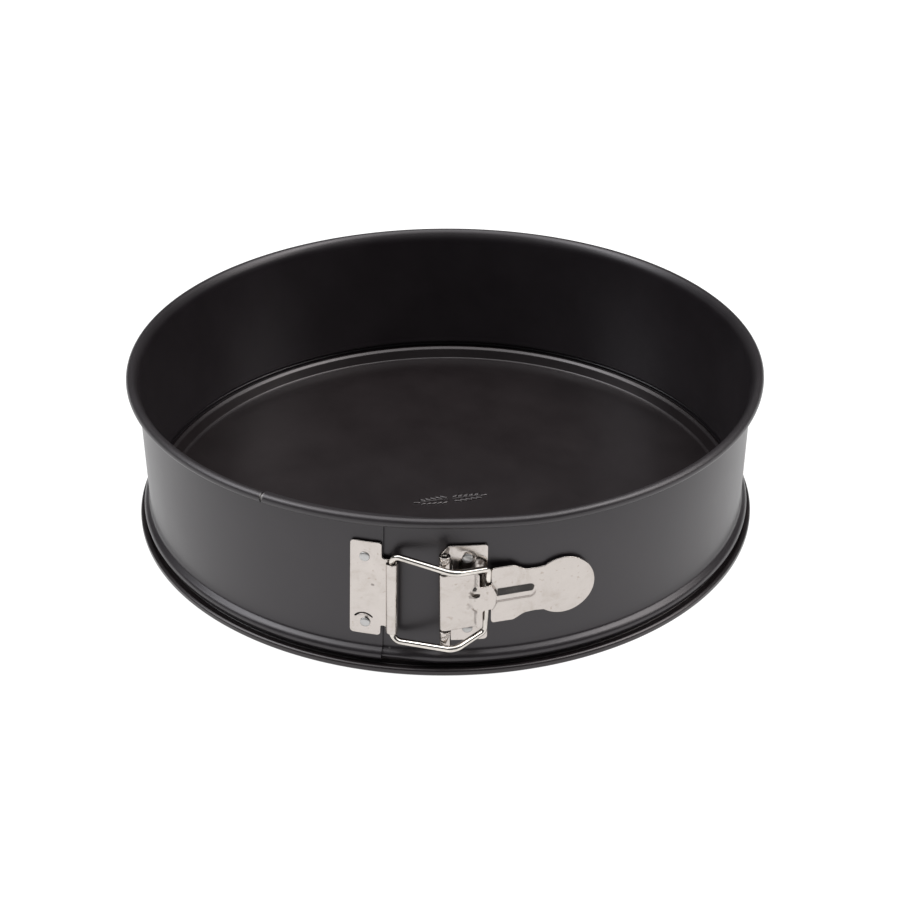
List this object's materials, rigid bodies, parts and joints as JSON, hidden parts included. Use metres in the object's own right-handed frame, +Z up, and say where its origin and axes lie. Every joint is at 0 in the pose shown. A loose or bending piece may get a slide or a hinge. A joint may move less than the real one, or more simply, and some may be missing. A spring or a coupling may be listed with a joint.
{
  "type": "springform pan",
  "caption": "Round springform baking pan: flat base plate held in the foot of a sprung band that a toggle latch with a wire bail and thumb lever closes.",
  "frame": {"origin": "middle of the base plate's underside, on the surface the pan stands on", "axes": "+Z up along the pan's axis; -Y towards the latch; +X towards the lever's thumb pad, parallel to the table"},
  "size_m": [0.2706, 0.2782, 0.0701],
  "materials": {
    "nonstick_base": "satin non-stick coating",
    "nonstick_band": "satin non-stick coating",
    "plated_plate": "tin-plated steel, lightly handled",
    "plated_lever": "tin-plated steel, lightly handled",
    "bright_wire": "bright drawn wire",
    "rivet_metal": "satin rivet heads",
    "pin_steel": "plain steel pin"
  },
  "bodies": {
    "base": {"base_plate": "nonstick_base"},
    "band_back": {"band_back_arc": "nonstick_band"},
    "band_left": {"band_left_arc": "nonstick_band", "catch_plate": "plated_plate", "catch_rivet_upper": "rivet_metal", "catch_rivet_lower": "rivet_metal"},
    "band_right": {"band_right_arc": "nonstick_band", "hinge_plate": "plated_plate", "hinge_rivet_upper": "rivet_metal", "hinge_rivet_lower": "rivet_metal", "hinge_pin": "pin_steel"},
    "latch_lever": {"lever": "plated_lever"},
    "bail": {"wire_bail": "bright_wire"}
  },
  "joints": [
    {"name": "ring_lift", "type": "slide", "parent": "base", "child": "band_back", "axis": [0, 0, 1], "range_m": [0, 0.08]},
    {"name": "band_left_spread", "type": "hinge", "parent": "band_back", "child": "band_left", "pos_m": [-0.06775, 0.11735, 0.036], "axis": [0, 0, -1], "range_deg": [0, 0.75]},
    {"name": "band_right_spread", "type": "hinge", "parent": "band_back", "child": "band_right", "pos_m": [0.06775, 0.11735, 0.036], "axis": [0, 0, 1], "range_deg": [0, 0.75]},
    {"name": "lever_swing", "type": "hinge", "parent": "band_right", "child": "latch_lever", "pos_m": [0, -0.1363, 0.036], "axis": [0, 0, -1], "range_deg": [0, 90]},
    {"name": "bail_swing", "type": "hinge", "parent": "band_left", "child": "bail", "pos_m": [-0.0193, -0.1318, 0.0352], "axis": [0, 0, -1], "range_deg": [0, 32.5]}
  ],
  "couplings": [
    {"joint": "band_left_spread", "follows": "lever_swing", "ratio": 0.0079},
    {"joint": "band_right_spread", "follows": "lever_swing", "ratio": 0.0079},
    {"joint": "bail_swing", "follows": "lever_swing", "ratio": 0.3589}
  ]
}
